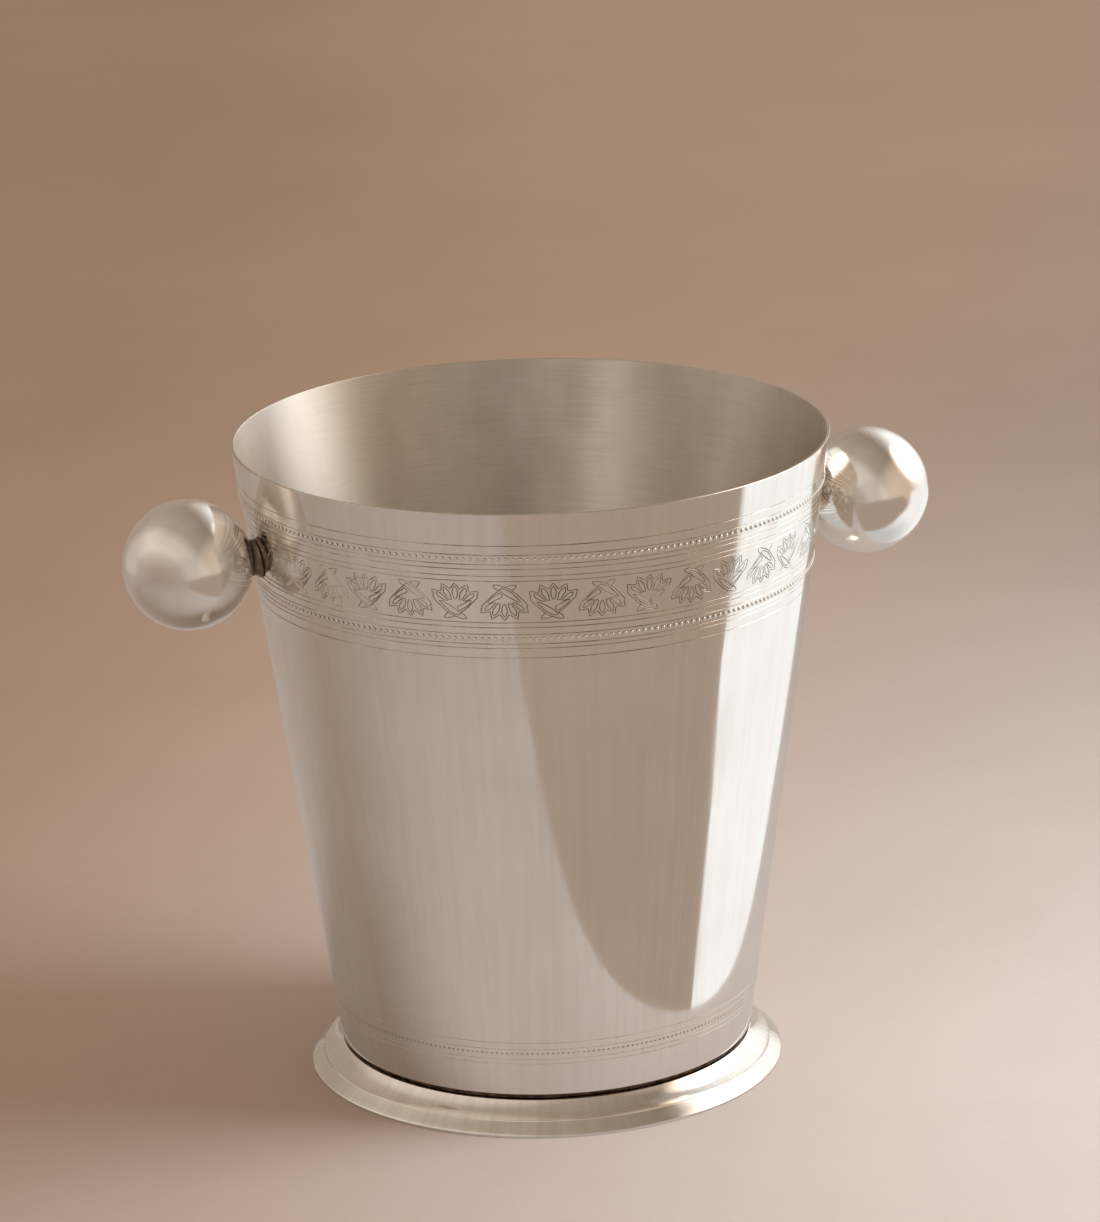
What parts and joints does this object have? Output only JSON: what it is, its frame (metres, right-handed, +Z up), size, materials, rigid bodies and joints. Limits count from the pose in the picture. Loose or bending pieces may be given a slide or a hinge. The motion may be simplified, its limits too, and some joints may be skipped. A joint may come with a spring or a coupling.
{
  "type": "champagne bucket",
  "caption": "Tapered round champagne bucket in silver plate, open at the top, with an engraved leaf frieze, a spun foot and ball handles.",
  "frame": {"origin": "on the bucket's axis, at the plane it stands on", "axes": "+Z up along the bucket's axis, X through both ball handles, Y across them"},
  "size_m": [0.3096, 0.22, 0.2425],
  "materials": {
    "silver_plate_body": "polished silver plate on brass sheet, engraved lines and leaves outside, satin and lightly brushed inside",
    "satin_silver_plate": "satin silver plate on brass sheet",
    "silver_plate_foot": "polished silver plate on spun brass",
    "silver_plate_ball": "bright polished silver plate on spun brass",
    "silver_plate_neck": "polished silver plate, darker in the corners",
    "tarnished_solder": "blackened solder joint",
    "bare_brass": "turned brass, unplated"
  },
  "bodies": {
    "root": {"body_wall": "silver_plate_body", "body_floor": "satin_silver_plate", "foot_ring": "silver_plate_foot", "foot_seat_ring": "tarnished_solder", "ball_outer_half_left": "silver_plate_ball", "ball_inner_half_left": "silver_plate_ball", "neck_collar_left": "silver_plate_neck", "saddle_washer_left": "silver_plate_neck", "ball_boss_left": "bare_brass", "ball_screw_left": "silver_plate_neck", "ball_outer_half_right": "silver_plate_ball", "ball_inner_half_right": "silver_plate_ball", "neck_collar_right": "silver_plate_neck", "saddle_washer_right": "silver_plate_neck", "ball_boss_right": "bare_brass", "ball_screw_right": "silver_plate_neck"}
  },
  "joints": []
}
